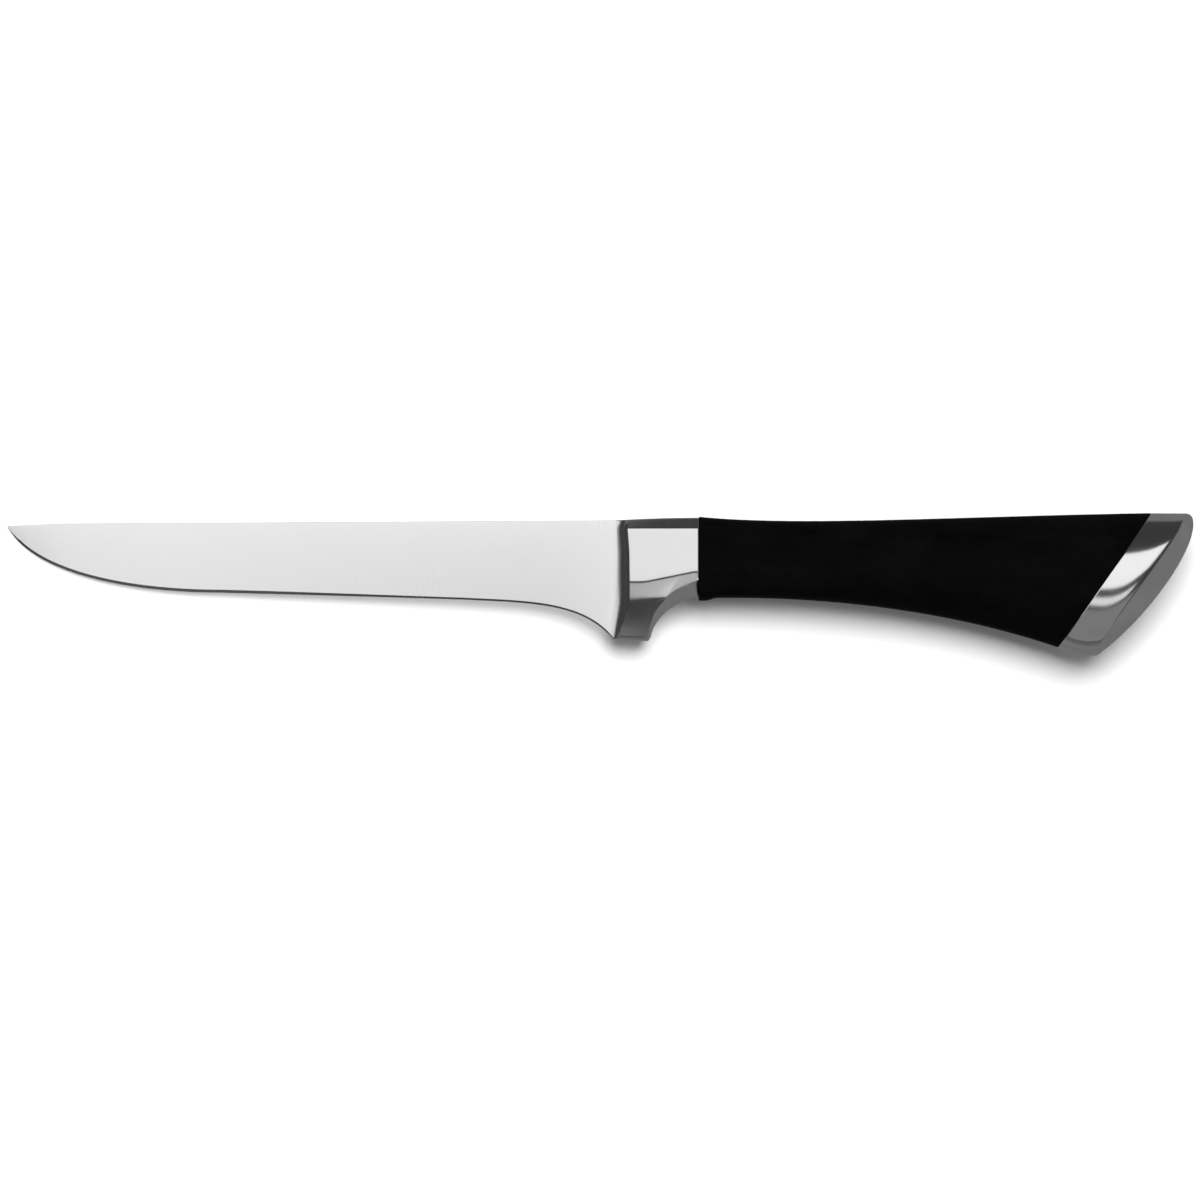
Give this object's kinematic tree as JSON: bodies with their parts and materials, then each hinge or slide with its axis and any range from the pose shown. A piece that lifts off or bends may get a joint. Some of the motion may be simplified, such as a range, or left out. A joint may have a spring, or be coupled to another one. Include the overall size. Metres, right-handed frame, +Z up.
{
  "type": "boning knife",
  "caption": "Narrow boning knife with a curved tip, steel bolster with finger guard, soft flared grip and polished steel end cap.",
  "frame": {"origin": "below the middle of the knife's box, on the plane the knife lies on", "axes": "+X along the knife from the tip to the butt, +Y towards the spine, +Z up through the thickness as the knife lies on its side"},
  "size_m": [0.2963, 0.0356, 0.0186],
  "materials": {
    "blade_steel": "satin, ground across the blade, with a finer polished edge bevel",
    "bolster_steel": "fine satin on flat facets with crisp polished edges",
    "hidden_steel": "zinc plated, dull",
    "core_nylon": "moulded glass-filled nylon, matt",
    "grip_rubber": "fine matt moulded texture, soft touch",
    "cap_steel": "polished with faint fine scratches",
    "adhesive": "cured amber resin"
  },
  "bodies": {
    "root": {"blade": "blade_steel", "bolster": "bolster_steel", "tang_rod": "hidden_steel", "core_left": "core_nylon", "core_right": "core_nylon", "tang_dowels": "hidden_steel", "tang_washer": "hidden_steel", "lock_washer": "hidden_steel", "tang_nut": "hidden_steel", "grip_skin": "grip_rubber", "end_cap": "cap_steel", "cap_studs": "hidden_steel", "cap_adhesive": "adhesive"}
  },
  "joints": []
}
